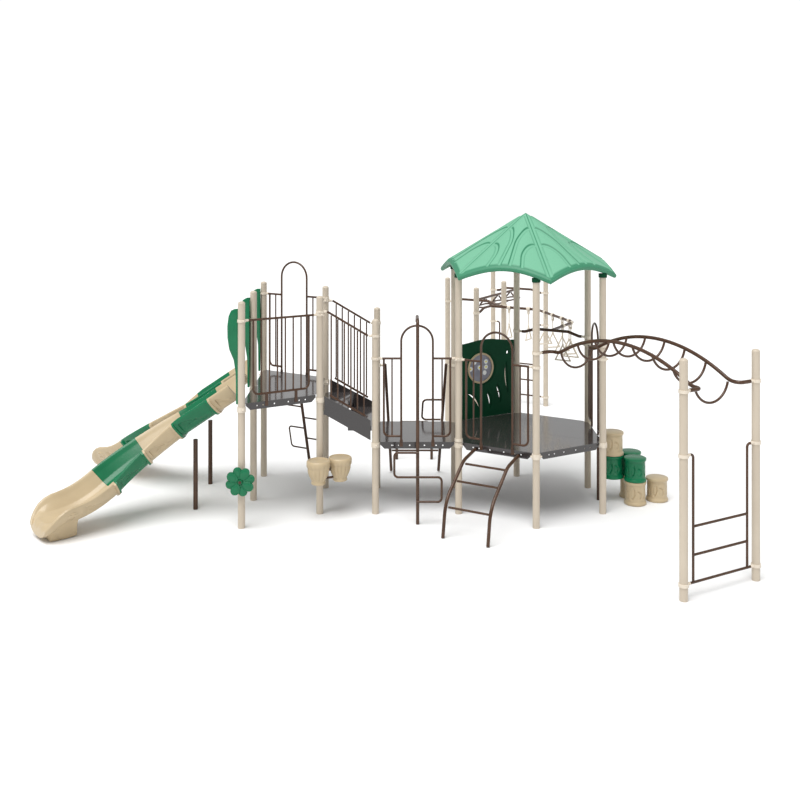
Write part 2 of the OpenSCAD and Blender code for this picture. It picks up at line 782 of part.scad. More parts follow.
// The handle positions, as distances along each leg of the track: [leg, distance]
handle_at = [[0, 415], [0, 742], [1, 140], [1, 390], [1, 745], [1, 1050], [2, 150], [2, 490]];
function handle_point(i) =
  let (leg = handle_at[i][0])
  track_pts[leg] + unit(track_pts[leg + 1] - track_pts[leg]) * handle_at[i][1];
function handle_heading(i) =
  let (leg = handle_at[i][0])
  flat_angle(track_pts[leg + 1] - track_pts[leg]);

module on_handle(i)
  translate(handle_point(i))
    rotate(handle_heading(i))
      children();

pivot_z = -72;
pin_d = 12;
eye_d = 30;
eye_w = 18;
ear_t = 8;
hanger_w = 58;

module track_hangers() color("tan")
  for (i = [0 : len(handle_at) - 1])
    on_handle(i) {
      difference() {
        union() {
          rotate([0, 90, 0])
            cylinder(d = rail_d + 18, h = hanger_w, center = true);
          for (s = [-1, 1])
            translate([-15, s * (eye_w / 2 + 0.5 + ear_t / 2) - ear_t / 2, pivot_z - 15])
              cube([30, ear_t, -pivot_z - 15]);
        }
        rotate([0, 90, 0])
          cylinder(d = rail_d + 2 * gap, h = hanger_w + 2, center = true);
      }
      translate([0, 0, pivot_z])
        rotate([90, 0, 0])
          cylinder(d = pin_d, h = eye_w + 1 + 2 * ear_t - gap, center = true);
    }

grip_w = 230;
grip_h = 220;
grip_d = 22;
hang_drop = 505;

// Swinging handle: an eye, a straight shank and a three-sided grip
module swing_handle(i) color("tan") on_handle(i) {
  bottom_z = -hang_drop + grip_d / 2;
  top_z = bottom_z + grip_h;
  difference() {
    union() {
      translate([0, 0, pivot_z])
        rotate([90, 0, 0])
          cylinder(d = eye_d, h = eye_w, center = true);
      bar([0, 0, pivot_z - eye_d / 2 + 4], [0, 0, top_z - 10], 16);
    }
    translate([0, 0, pivot_z])
      rotate([90, 0, 0])
        cylinder(d = pin_d + 0.1, h = eye_w + 2, center = true);
  }
  corners = [[0, 0, top_z], [0, -grip_w / 2, bottom_z], [0, grip_w / 2, bottom_z]];
  for (i = [0 : 2]) {
    bar(corners[i], corners[(i + 1) % 3], grip_d);
    translate(corners[i])
      sphere(d = i == 0 ? 34 : grip_d + 1);
  }
}

module swing_handle_1() swing_handle(0);
module swing_handle_2() swing_handle(1);
module swing_handle_3() swing_handle(2);
module swing_handle_4() swing_handle(3);
module swing_handle_5() swing_handle(4);
module swing_handle_6() swing_handle(5);
module swing_handle_7() swing_handle(6);
module swing_handle_8() swing_handle(7);

loop_drop = 140;
loop_count = 3;
loop_size = [500, 200];

// Level rail with hanging loops from the ring corner to the far end posts
module loop_ladder() color("saddlebrown") {
  a = (post_q0 + post_q2) / 2;
  b = (post_q3 + post_q4) / 2;
  half = loop_size / 2;
  end_gap = rail_d / 2 + gap;
  translate([a[0], a[1], track_z])
    rotate(flat_angle(b - a)) {
      bar([end_gap, 0, 0], [loop_span - end_gap, 0, 0], rail_d);
      for (i = [0 : loop_count - 1])
        translate([(i + 0.75) * loop_span / (loop_count + 0.5), 0, -loop_drop]) {
          for (s = [-1, 1])
            bar([0, s * half[1], tube_d / 2 + gap], [0, s * 12, loop_drop - rail_d / 2 - 4], tube_d);
          bent_tube([[0, -half[1], 0], [half[0], -half[1], 0], [half[0], half[1], 0],
                     [-half[0], half[1], 0], [-half[0], -half[1], 0], [0, -half[1], 0]],
                    tube_d, 60);
        }
    }
}

// ---- clamps of barriers and climbers ----

end_clamp_list = [[post_r1, post_r2], [post_q4, post_q3]];

module rail_clamps() color("tan") {
  clamp_pair(post_1, post_4, tower_rail_z);
  clamp_pair(post_a, post_b, hex_rail_z);
  clamp_pair(post_6, post_a, pole_rail_z);
  clamp_pair(post_c, post_d0, hex_rail_z);
  clamp_pair(post_5, post_3, tower_entry_rail_z);
  for (pair = [[post_4, post_6], [post_5, post_7]]) {
    clamp(pair[0], stair_rail_z[0], [flat_angle(pair[1] - pair[0])]);
    clamp(pair[1], stair_rail_z[1], [flat_angle(pair[0] - pair[1])]);
  }
  clamp_pair(post_b, post_c, arch_z);
  clamp_pair(post_r1, post_r2, arch_z);
  clamp(post_q2, track_z - header_joggle, [flat_angle(post_q1 - post_q2), flat_angle(post_q0 - post_q2)]);
  clamp(post_q1, track_z - header_joggle, [flat_angle(post_q2 - post_q1)]);
  for (pair = end_clamp_list) {
    clamp_pair(pair[0], pair[1], end_rung_z[0]);
    clamp_pair(pair[0], pair[1], end_top_z);
  }
  for (pair = [[post_d0, post_e], [post_q4, post_q3]])
    clamp_pair(pair[0], pair[1], track_z - header_joggle);
  clamp(post_q0, track_z - header_joggle, [flat_angle(post_q2 - post_q0)]);
  clamp(post_f, 1691, [flat_angle(post_7 - post_f)]);
  clamp(post_7, 1691, [flat_angle(post_f - post_7)]);
  clamp(post_1, flower_z, [-90]);
  clamp(post_4, drum_z + drum_links[0][0], [-90]);
}

// ---- play panel with its window ----

panel_low_z = low_deck_z + 4;
panel_side_z = 1960;
panel_peak_z = 2005;
panel_x = module_len / 2 - clamp_r - 4;
panel_t = 30;
window_x = 0.09 * module_len;
window_z = 1607;
window_r = 216;
ring_w = 27;
slit_w = 24;

// Ends of the see-through slits, and the round holes with their radii
slits = [[[302, 1266], [114, 1041]], [[-19, 1250], [-67, 1067]], [[-176, 1333], [-237, 1128]],
         [[-340, 1643], [-370, 1251]]];
round_holes = [[-364, 1790, 24], [411, 1250, 16]];

module panel_outline()
  polygon(concat([[-panel_x, panel_low_z], [panel_x, panel_low_z]],
                 [for (i = [0 : 12])
                   let (share = cos(180 * (i / 6 - 1)))
                   [panel_x * (1 - i / 6),
                    panel_side_z + (panel_peak_z - panel_side_z) * (1 + share) / 2]]));

// Slit with round ends from a to b
module slit(a, b) {
  hull()
    for (p = [a, b])
      translate(p)
        circle(d = slit_w, $fn = 32);
}

module play_panel() color("darkgreen") side(post_e, post_f)
  rotate([90, 0, 0])
    translate([0, 0, -panel_t / 2])
      linear_extrude(panel_t)
        difference() {
          panel_outline();
          translate([window_x, window_z])
            circle(r = window_r - ring_w + 1);
          for (ends = slits)
            slit(ends[0], ends[1]);
          for (hole = round_holes)
            translate([hole[0], hole[1]])
              circle(r = hole[2]);
        }

module window_ring() color("wheat") side(post_e, post_f)
  rotate([90, 0, 0])
    translate([window_x, window_z, 0])
      for (back = [0, 1])
        mirror([0, 0, back])
          rotate_extrude()
            polygon([[window_r - ring_w, panel_t / 2 + gap], [window_r, panel_t / 2 + gap],
                     [window_r, panel_t / 2 + 14], [window_r - ring_w, panel_t / 2 + 18]]);

module window_disc() color("gray") side(post_e, post_f)
  rotate([90, 0, 0])
    translate([window_x, window_z, -5])
      cylinder(r = window_r - ring_w, h = 10);

// ---- drums and flower ----

drum_z = 442;
drum_h = 303;
drum_places = [[0, -224], [264, -68]];

// Bars of the drum bracket: height on the drums, and distance from a drum's axis to the bar's end
drum_links = [[60, 104], [160, 140]];

module drums() color("wheat")
  for (q = drum_places)
    at(post_4 + q, drum_z)
      rotate_extrude()
        polygon([[0, 0], [82, 0], [92, 20], [100, 70], [128, 150], [150, 215], [152, 270], [150, drum_h],
                 [128, drum_h], [122, drum_h - 12], [0, drum_h - 14]]);

module drum_bracket() color("saddlebrown") {
  z = drum_z + drum_links[0][0];
  at(post_4)
    bar([0, -clamp_reach, z], [0, drum_places[0][1] + drum_links[0][1], z], 30);
  u = unit(drum_places[1] - drum_places[0]);
  for (link = drum_links)
    at(post_4)
      bar(concat(drum_places[0] + u * link[1], [drum_z + link[0]]),
          concat(drum_places[1] - u * link[1], [drum_z + link[0]]), 30);
}

flower_z = 600;
flower_r = 182;
petal_count = 8;
flower_t = 36;
flower_y = -clamp_reach - 14;

module flower_wheel() color("seagreen") at(post_1, flower_z)
  translate([0, flower_y, 0])
    rotate([90, 0, 0])
      linear_extrude(flower_t)
        difference() {
          union() {
            circle(r = 92);
            for (i = [0 : petal_count - 1])
              rotate(i * 360 / petal_count + 15)
                translate([flower_r - 56, 0])
                  circle(r = 56);
          }
          circle(d = 16.1);
        }

module flower_axle() color("dimgray") at(post_1, flower_z)
  rotate([90, 0, 0]) {
    translate([0, 0, clamp_reach])
      cylinder(d = 44, h = 12);
    translate([0, 0, clamp_reach + 6])
      cylinder(d = 16, h = flower_t + 26);
    translate([0, 0, clamp_reach + 14 + flower_t + 2])
      cylinder(d = 34, h = 14);
  }

// ---- roof ----

roof_turn = 8;
tip_z = 3020;
rim_rise = 140;
roof_t = 40;
face_steps = 8;
ring_steps = 5;

// Direction and radius of point j of side k of the rim
function rim_angle(i) = roof_turn - 30 + 360 * i / (6 * face_steps);
function rim_radius(i) = roof_r * cos(30) / cos(60 * (i % face_steps) / face_steps - 30);
function rim_arch(i) = let (u = 2 * (i % face_steps) / face_steps - 1) 1 - u * u;
function roof_point(i, r, drop) =
  let (share = (1 - r), low = tip_z + rim_rise * rim_arch(i) + 50)
  [hex_centre[0] + rim_radius(i) * r * cos(rim_angle(i)),
   hex_centre[1] + rim_radius(i) * r * sin(rim_angle(i)),
   low + (roof_top_z - low) * share - drop];
function roof_ring(r, drop) = [for (i = [0 : 6 * face_steps - 1]) roof_point(i, r, drop)];

module roof() color("mediumseagreen") {
  n = 6 * face_steps;
  outer = [for (k = [0 : ring_steps - 1]) roof_ring(1 - k / ring_steps, 0)];
  inner = [for (k = [0 : ring_steps - 1]) roof_ring(1 - 0.02 - k * 0.96 / ring_steps, k == 0 ? 50 : roof_t)];
  rings = concat([for (k = [ring_steps - 1 : -1 : 0]) inner[k]], outer);
  pts = concat([[hex_centre[0], hex_centre[1], roof_top_z - roof_t - 10]],
               [for (ring = rings) each ring], [[hex_centre[0], hex_centre[1], roof_top_z]]);
  last = len(rings) - 1;
  top = len(pts) - 1;
  polyhedron(pts, concat(
    [for (j = [0 : n - 1]) [0, 1 + (j + 1) % n, 1 + j]],
    [for (i = [0 : last - 1], j = [0 : n - 1], k = [0, 1])
      let (a = 1 + i * n + j, b = 1 + i * n + (j + 1) % n)
      k == 0 ? [a, b, b + n] : [a, b + n, a + n]],
    [for (j = [0 : n - 1]) [top, 1 + last * n + j, 1 + last * n + (j + 1) % n]]));
}

socket_h = 36;

module roof_sockets() color("darkgreen")
  for (p = roof_post_list)
    at(p, roof_post_h - socket_h)
      difference() {
        cylinder(r = post_r + 10, h = socket_h + 14);
        translate([0, 0, -1])
          cylinder(r = post_r + gap, h = socket_h + 1 + gap);
      }

slide_tower_posts();
square_deck_posts();
roof_posts();
arch_ladder_posts();
track_posts();
far_end_posts();
post_caps();
deck_clamps();
rail_clamps();
high_deck();
square_deck();
hex_deck_front();
hex_deck_back();
stair_treads();
stair_stringers();
stair_barriers();
tower_barrier();
hex_entry();
pole_entry();
stump_entry();
tower_entry();
slide_front_tan();
slide_front_green();
slide_back_tan();
slide_back_green();
slide_legs();
slide_hoods();
pole_climber();
arched_climber();
tower_ladder();
back_climber();
tan_stumps();
green_stumps();
stump_leg();
arch_ladder_rails();
arch_ladder_rungs();
right_end_ladder();
far_end_ladder();
header_bars();
track_rail();
track_hangers();
swing_handle_1();
swing_handle_2();
swing_handle_3();
swing_handle_4();
swing_handle_5();
swing_handle_6();
swing_handle_7();
swing_handle_8();
loop_ladder();
play_panel();
window_ring();
window_disc();
drums();
drum_bracket();
flower_wheel();
flower_axle();
roof();
roof_sockets();
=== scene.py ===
import math

import bpy
from mathutils import Matrix, Vector


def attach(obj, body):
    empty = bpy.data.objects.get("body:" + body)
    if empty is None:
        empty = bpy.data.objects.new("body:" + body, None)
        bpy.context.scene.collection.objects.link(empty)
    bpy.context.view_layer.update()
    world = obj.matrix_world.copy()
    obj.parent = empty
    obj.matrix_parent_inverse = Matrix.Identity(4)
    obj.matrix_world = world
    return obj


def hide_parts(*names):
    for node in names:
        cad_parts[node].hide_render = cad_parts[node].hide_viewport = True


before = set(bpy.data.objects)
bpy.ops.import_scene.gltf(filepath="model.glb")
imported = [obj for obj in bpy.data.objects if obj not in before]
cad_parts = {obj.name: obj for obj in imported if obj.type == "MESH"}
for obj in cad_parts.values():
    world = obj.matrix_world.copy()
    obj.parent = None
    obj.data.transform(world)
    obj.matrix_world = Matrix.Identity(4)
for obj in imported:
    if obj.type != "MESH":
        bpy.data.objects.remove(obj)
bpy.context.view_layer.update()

# Ground plan. Posts stand on a grid of equilateral and square bays, one deck module apart.
# The plan is worked out from the first roof post, and every piece below is placed by it.
module = 1.067
rise = module * math.sqrt(3) / 2
post_a = Vector((1.042, -1.877))
post_b = post_a + Vector((rise, -module / 2))
post_c = post_a + Vector((2 * rise, 0))
post_d = post_a + Vector((2 * rise, module))
post_e = post_a + Vector((rise, 1.5 * module))
post_f = post_a + Vector((0, module))
post_6 = post_a - Vector((module, 0))
post_7 = post_6 + Vector((0, module))
post_4 = post_6 - Vector((0.714, 0))
post_5 = post_4 + Vector((0, module))
post_1 = post_4 + Vector((-rise, -module / 2))
post_2 = post_1 + Vector((0, module))
post_3 = post_2 + Vector((0, module))
roof_centre = post_a + Vector((rise, module / 2))

# Camera at the viewer's place, level, with its frame shifted down to take the ground in.
camera_data = bpy.data.cameras.new("camera")
camera_data.sensor_width = 36
camera_data.lens = 47.125
camera_data.shift_x = 0.002
camera_data.shift_y = -0.2985
camera_data.clip_end = 200
camera = bpy.data.objects.new("camera", camera_data)
bpy.context.scene.collection.objects.link(camera)
camera.location = (post_a.x - 0.77275, post_a.y - 13.43026, 4.51432)
camera.rotation_euler = (math.radians(90), 0, 0)
bpy.context.scene.camera = camera

# Studio: a white floor and a white surround, with a broad soft key from above and a weaker
# fill, so that tops are bright, upright faces calmer, and the shade under the decks soft.
world = bpy.data.worlds.new("studio")
world.use_nodes = True
surround = world.node_tree
white = surround.nodes["Background"]
white.inputs["Strength"].default_value = 1.05
white.inputs["Color"].default_value = (1, 1, 1, 1)
fill = surround.nodes.new("ShaderNodeBackground")
fill.inputs["Color"].default_value = (1, 1, 1, 1)
fill.inputs["Strength"].default_value = 0.55
seen = surround.nodes.new("ShaderNodeLightPath")
choice = surround.nodes.new("ShaderNodeMixShader")
surround.links.new(seen.outputs["Is Camera Ray"], choice.inputs["Fac"])
surround.links.new(fill.outputs["Background"], choice.inputs[1])
surround.links.new(white.outputs["Background"], choice.inputs[2])
surround.links.new(choice.outputs["Shader"], surround.nodes["World Output"].inputs["Surface"])
bpy.context.scene.world = world
bpy.context.scene.view_settings.view_transform = "Standard"

key_data = bpy.data.lights.new("key", "SUN")
key_data.energy = 2.9
key_data.angle = math.radians(45)
key = bpy.data.objects.new("key", key_data)
bpy.context.scene.collection.objects.link(key)
key.rotation_euler = Vector((0.2, 0.33, -0.92)).to_track_quat("-Z", "Y").to_euler()

bpy.ops.object.select_all(action="DESELECT")
bpy.ops.mesh.primitive_plane_add(size=120, location=(0, 0, -0.001))
floor = bpy.context.object
floor.name = "floor"
floor_paint = bpy.data.materials.new("floor_paint")
floor_paint.use_nodes = True
floor_shader = floor_paint.node_tree.nodes["Principled BSDF"]
floor_shader.inputs["Base Color"].default_value = (0.9, 0.9, 0.9, 1)
floor_shader.inputs["Roughness"].default_value = 0.9
floor.data.materials.append(floor_paint)


# Posts and caps: round steel tube with a smooth powder coat in warm beige, each closed by a
# domed cap. The coat has a faint orange-peel grain and slight changes of tone.
def finish(name, colour, second, roughness, scale, bump, metallic=0.0, coat=0.0):
    """Paint or plastic: two close tones in soft patches, with a fine grain in the gloss."""
    material = bpy.data.materials.new(name)
    material.use_nodes = True
    tree = material.node_tree
    shader = tree.nodes["Principled BSDF"]
    place = tree.nodes.new("ShaderNodeTexCoord")
    patches = tree.nodes.new("ShaderNodeTexNoise")
    patches.inputs["Scale"].default_value = scale
    patches.inputs["Detail"].default_value = 6
    tones = tree.nodes.new("ShaderNodeValToRGB")
    tones.color_ramp.elements[0].position = 0.35
    tones.color_ramp.elements[0].color = (*second, 1)
    tones.color_ramp.elements[1].position = 0.65
    tones.color_ramp.elements[1].color = (*colour, 1)
    grain = tree.nodes.new("ShaderNodeTexNoise")
    grain.inputs["Scale"].default_value = 260
    relief = tree.nodes.new("ShaderNodeBump")
    relief.inputs["Strength"].default_value = bump
    relief.inputs["Distance"].default_value = 0.002
    gloss = tree.nodes.new("ShaderNodeMapRange")
    gloss.inputs["To Min"].default_value = roughness - 0.06
    gloss.inputs["To Max"].default_value = roughness + 0.06
    tree.links.new(place.outputs["Object"], patches.inputs["Vector"])
    tree.links.new(place.outputs["Object"], grain.inputs["Vector"])
    tree.links.new(patches.outputs["Fac"], tones.inputs["Fac"])
    tree.links.new(tones.outputs["Color"], shader.inputs["Base Color"])
    tree.links.new(grain.outputs["Fac"], relief.inputs["Height"])
    tree.links.new(relief.outputs["Normal"], shader.inputs["Normal"])
    tree.links.new(patches.outputs["Fac"], gloss.inputs["Value"])
    tree.links.new(gloss.outputs["Result"], shader.inputs["Roughness"])
    shader.inputs["Metallic"].default_value = metallic
    shader.inputs["Coat Weight"].default_value = coat
    shader.inputs["Coat Roughness"].default_value = 0.15
    shader.inputs["Specular IOR Level"].default_value = 0.3
    return material


def dress(material, *nodes):
    """Gives CAD nodes their material."""
    for node in nodes:
        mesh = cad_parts[node].data
        mesh.materials.clear()
        mesh.materials.append(material)


beige_coat = finish("beige_coat", (0.58, 0.505, 0.405), (0.545, 0.47, 0.375), 0.42, 3, 0.05, 0.0, 0.15)
dress(beige_coat, "slide_tower_posts", "square_deck_posts", "roof_posts", "arch_ladder_posts",
      "track_posts", "far_end_posts", "post_caps")

# Clamp rings: cast collars in a lighter tan, bolted round the posts.
tan_cast = finish("tan_cast", (0.76, 0.68, 0.57), (0.70, 0.62, 0.51), 0.4, 20, 0.12, 0.0, 0.2)
dress(tan_cast, "deck_clamps", "rail_clamps", "track_hangers")
for i in range(1, 9):
    dress(tan_cast, f"swing_handle_{i}")


def clamp_bolt(post, z, heading):
    """Bolt through the ear of a clamp: a stud with a domed head, standing off the ring."""
    bpy.ops.object.select_all(action="DESELECT")
    across = Vector((math.cos(heading), math.sin(heading), 0))
    centre = Vector((post.x, post.y, z)) + across * 0.057
    bpy.ops.mesh.primitive_uv_sphere_add(segments=16, ring_count=10, radius=1)
    ear = bpy.context.object
    turn = across.to_track_quat("Z", "Y")
    for v in ear.data.vertices:
        x, y, up = v.co
        v.co = centre + turn @ Vector((0.013 * x, 0.013 * y, 0.016 * max(-1, min(1, up * 1.25))))
    return ear


def heading(start, end):
    return math.atan2(end.y - start.y, end.x - start.x)


tower_rail_z, tower_entry_z, hex_rail_z, pole_rail_z = 2.549, 2.62, 1.975, 1.985
stair_rail_z = (2.585, 2.276)
rail_joints = [(post_1, post_4, tower_rail_z), (post_a, post_b, hex_rail_z), (post_6, post_a, pole_rail_z),
               (post_c, post_d, hex_rail_z), (post_5, post_3, tower_entry_z)]
clamped = [(p, z, heading(p, q)) for start, end, z in rail_joints for p, q in ((start, end), (end, start))]
for upper, lower in ((post_4, post_6), (post_5, post_7)):
    clamped.append((upper, stair_rail_z[0], heading(upper, lower)))
    clamped.append((lower, stair_rail_z[1], heading(lower, upper)))
low_deck_clamp_z, high_deck_clamp_z = 0.877, 1.457
for post in (post_a, post_b, post_c, post_d, post_e, post_f, post_6, post_7):
    clamped.append((post, low_deck_clamp_z, heading(post, roof_centre)))
clamped += [(p, high_deck_clamp_z, heading(p, post_4)) for p in (post_1, post_2, post_3)]
clamped += [(p, high_deck_clamp_z, heading(p, post_2)) for p in (post_4, post_5)]
bolts = []
for post, z, turn in clamped:
    for side in (-1, 1):
        bolts.append(clamp_bolt(post, z, turn + side * math.pi / 2))
bpy.ops.object.select_all(action="DESELECT")
for bolt in bolts:
    bolt.select_set(True)
bpy.context.view_layer.objects.active = bolts[0]
bpy.ops.object.join()
bolts[0].name = "clamp_bolts"
bpy.ops.object.shade_smooth()
bolts[0].data.materials.append(tan_cast)
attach(bolts[0], "structure")

# Tubes of barriers, climbers and ladders: bent steel tube in a dark brown powder coat.
brown_coat = finish("brown_coat", (0.085, 0.04, 0.02), (0.06, 0.028, 0.014), 0.36, 8, 0.05, 0.2, 0.35)
dress(brown_coat, "stair_barriers", "tower_barrier", "hex_entry", "pole_entry", "stump_entry",
      "tower_entry", "slide_legs", "pole_climber", "arched_climber", "tower_ladder", "back_climber",
      "stump_leg", "arch_ladder_rails", "arch_ladder_rungs", "right_end_ladder", "far_end_ladder",
      "header_bars", "track_rail", "loop_ladder", "drum_bracket", "flower_axle")


# Decks and stair: folded steel, dipped in a glossy dark brown coat. The top is punched with small holes
# and mirrors what stands round it. Its colour is painted lighter than the skirts and stringers, as painted
# light on the up-facing faces, and its holes are painted darker, as painted shade seen through them.
def punched_steel(name):
    material = bpy.data.materials.new(name)
    material.use_nodes = True
    tree = material.node_tree
    shader = tree.nodes["Principled BSDF"]
    place = tree.nodes.new("ShaderNodeTexCoord")
    facing = tree.nodes.new("ShaderNodeNewGeometry")
    split = tree.nodes.new("ShaderNodeSeparateXYZ")
    up = tree.nodes.new("ShaderNodeMath")
    up.operation = "GREATER_THAN"
    up.inputs[1].default_value = 0.7
    holes = tree.nodes.new("ShaderNodeTexVoronoi")
    holes.inputs["Scale"].default_value = 34
    holes.inputs["Randomness"].default_value = 0.0
    edge = tree.nodes.new("ShaderNodeMapRange")
    edge.inputs["From Min"].default_value = 0.2
    edge.inputs["From Max"].default_value = 0.27
    # The holes are painted darker than the steel between them: painted shade seen through the holes.
    punched_with_painted_shade = tree.nodes.new("ShaderNodeMix")
    punched_with_painted_shade.data_type = "RGBA"
    punched_with_painted_shade.inputs["A"].default_value = (0.03, 0.026, 0.026, 1)
    punched_with_painted_shade.inputs["B"].default_value = (0.06, 0.053, 0.053, 1)
    # Up-facing faces take the lighter punched tone and all other faces the darker one: painted light on the
    # top.
    top_painted_lighter = tree.nodes.new("ShaderNodeMix")
    top_painted_lighter.data_type = "RGBA"
    top_painted_lighter.inputs["A"].default_value = (0.018, 0.014, 0.014, 1)
    relief = tree.nodes.new("ShaderNodeBump")
    relief.inputs["Strength"].default_value = 0.03
    relief.inputs["Distance"].default_value = 0.001
    tree.links.new(facing.outputs["Normal"], split.inputs["Vector"])
    tree.links.new(split.outputs["Z"], up.inputs[0])
    tree.links.new(place.outputs["Object"], holes.inputs["Vector"])
    tree.links.new(holes.outputs["Distance"], edge.inputs["Value"])
    tree.links.new(edge.outputs["Result"], punched_with_painted_shade.inputs["Factor"])
    tree.links.new(up.outputs["Value"], top_painted_lighter.inputs["Factor"])
    tree.links.new(punched_with_painted_shade.outputs["Result"], top_painted_lighter.inputs["B"])
    tree.links.new(top_painted_lighter.outputs["Result"], shader.inputs["Base Color"])
    tree.links.new(edge.outputs["Result"], relief.inputs["Height"])
    tree.links.new(relief.outputs["Normal"], shader.inputs["Normal"])
    shader.inputs["Roughness"].default_value = 0.2
    shader.inputs["Specular IOR Level"].default_value = 0.4
    shader.inputs["Coat Weight"].default_value = 1
    shader.inputs["Coat IOR"].default_value = 1.5
    shader.inputs["Coat Roughness"].default_value = 0.09
    return material


deck_coat = punched_steel("deck_coat")
dress(deck_coat, "high_deck", "square_deck", "hex_deck_front", "hex_deck_back", "stair_treads",
      "stair_stringers")


# Slides: rotomoulded channels, hollow and glossy, in tan and deep green by turns. Each section
# has a pressed-in panel on its sides and a flange at its ends, and the exit has a rolled lip.
slide_w = 0.68
slide_h = 0.29
slide_x = post_1.x - 0.05
straight_run = 0.64
turn_r = 1.45
slide_drop = 0.665
joints = [0, 0.262, 0.724, 1.18, 1.648]
level_run = 0.73
base_z = 0.052
floor_z = 0.082
foot_depth = 0.128
around = 144


def smooth(a, b, x):
    t = max(0.0, min(1.0, (x - a) / (b - a)))
    return t * t * (3 - 2 * t)


def level_share(s):
    return min(1.0, max(0.0, s - joints[4]) / level_run)


def slide_place(s, across, up):
    """Point of the front slide: distance along it, across from its middle, and up."""
    turned = max(0.0, min(s, joints[4]) - straight_run) / turn_r
    tail = max(0.0, s - joints[4])
    run = min(s, straight_run)
    level = level_share(s)
    tilt = math.atan(slide_drop) * (1 - level)
    x = slide_x - run - turn_r * math.sin(turned) - tail * math.cos(turned)
    y = -turn_r * (1 - math.cos(turned)) - tail * math.sin(turned)
    z = 1.469 - slide_drop * min(s, joints[4]) - slide_drop * level_run * (level - level * level / 2)
    return Vector((x + across * math.sin(turned) - up * math.sin(tilt) * math.cos(turned),
                   post_a.y + y - across * math.cos(turned) - up * math.sin(tilt) * math.sin(turned),
                   z + up * math.cos(tilt)))


def channel_point(t, grow, rim, dip, narrow, foot, recess):
    """Outline of the channel: t runs from the middle of the underside out, over the rim and in."""
    side = 1 if t <= 0.5 else -1
    t = 2 * (t if t <= 0.5 else 1 - t)
    w = slide_w / 2 - narrow
    h = slide_h * rim
    low = base_z - dip
    wall = h - low
    f = min(floor_z, h - 0.014)
    bottom = low - foot * (low + foot_depth) - grow
    corner = [
        (0.0, 0, bottom), (0.09, w - 0.2, bottom), (0.11, w - 0.165, bottom),
        (0.17, w - 0.10 + grow / 2, low + 0.13 * wall - grow * (1 - foot)),
        (0.24, w - 0.052 + grow - recess, low + 0.34 * wall),
        (0.36, w - 0.014 + grow - recess, low + 0.68 * wall),
        (0.40, w - 0.002 + grow, low + 0.84 * wall), (0.43, w, low + 0.93 * wall),
        (0.46, w - 0.012, h - 0.002), (0.49, w - 0.028, h - 0.002), (0.52, w - 0.042, low + 0.92 * wall),
        (0.60, w - 0.072, low + 0.72 * wall), (0.74, w - 0.150, f + 0.17 * (h - f)),
        (0.84, w - 0.205, f + 0.01 * (h - f)), (1.0, 0, f - 0.008)]
    for (t0, x0, z0), (t1, x1, z1) in zip(corner, corner[1:]):
        if t <= t1:
            u = (t - t0) / (t1 - t0)
            return side * (x0 + (x1 - x0) * u), z0 + (z1 - z0) * u
    return 0, f - 0.008


def grid_piece(name, rows, cols, place):
    """Mesh grid laid on a surface: place(row share, column share) gives each point."""
    bpy.ops.object.select_all(action="DESELECT")
    bpy.ops.mesh.primitive_grid_add(x_subdivisions=cols, y_subdivisions=rows, size=1)
    piece = bpy.context.object
    piece.name = name
    for v in piece.data.vertices:
        v.co = place(v.co.y + 0.5, v.co.x + 0.5)
    return piece


def close_piece(piece, merge=0.0004):
    """Welds the seam, closes the ends and turns the faces outwards."""
    bpy.context.view_layer.objects.active = piece
    bpy.ops.object.mode_set(mode="EDIT")
    bpy.ops.mesh.select_all(action="SELECT")
    bpy.ops.mesh.remove_doubles(threshold=merge)
    bpy.ops.mesh.select_all(action="DESELECT")
    bpy.ops.mesh.select_mode(type="EDGE")
    bpy.ops.mesh.select_non_manifold(extend=False, use_wire=False, use_multi_face=False,
                                     use_non_contiguous=False, use_verts=False)
    if any(edge.select for edge in piece.data.edges) or piece.data.total_edge_sel:
        bpy.ops.mesh.fill_holes(sides=0)
    bpy.ops.mesh.select_all(action="SELECT")
    bpy.ops.mesh.quads_convert_to_tris(quad_method="BEAUTY", ngon_method="BEAUTY")
    bpy.ops.mesh.normals_make_consistent(inside=False)
    bpy.ops.object.mode_set(mode="OBJECT")


def smooth_piece(piece, degrees=40):
    bpy.ops.object.select_all(action="DESELECT")
    piece.select_set(True)
    bpy.context.view_layer.objects.active = piece
    bpy.ops.object.shade_smooth_by_angle(angle=math.radians(degrees))


def fit_piece(piece, material, body, slot, *nodes):
    """Material, body, slot (not used) and the CAD nodes that the piece stands for."""
    piece.data.materials.clear()
    piece.data.materials.append(material)
    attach(piece, body)
    if nodes:
        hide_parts(*nodes)


def pressed(s, a, b, t):
    """Depth of the pressed-in side panel between a and b along the slide, with an oval ridge."""
    high = 2 * (t if t <= 0.5 else 1 - t)
    slope = 0.16 + 0.17 * smooth(a, b, s)
    inside = smooth(a, a + 0.012, s) * (1 - smooth(b - 0.012, b, s))
    depth = 0.022 * inside * smooth(0.155, 0.17, high) * (1 - smooth(slope + 0.03, slope + 0.05, high))
    oval = math.hypot((s - (a + b) / 2 - 0.02) / 0.1, (high - 0.21) / 0.055)
    return depth - 0.011 * inside * math.exp(-((oval - 0.85) / 0.16) ** 2)


def section_piece(name, i, flip):
    a, b = joints[i] + 0.0005, joints[i + 1] - 0.0005
    flange = 0.022
    stations = [a, a + flange, a + flange + 0.006] + [
        a + flange + 0.006 + (b - a - 2 * flange - 0.012) * k / 48 for k in range(1, 48)] + [
        b - flange - 0.006, b - flange, b]

    def place(row, col):
        s = stations[round(row * (len(stations) - 1))]
        edge = s <= a + flange + 1e-6 and i > 0 or s >= b - flange - 1e-6
        across, up = channel_point(col, 0.024 if edge else 0, 1, 0, 0, 0,
                                   pressed(s, a + 0.06, b - 0.06, col))
        p = slide_place(s, across, up)
        return (p.x, 2 * roof_centre.y - p.y, p.z) if flip else p
    piece = grid_piece(name, len(stations) - 1, around, place)
    close_piece(piece)
    smooth_piece(piece, 32)
    return piece


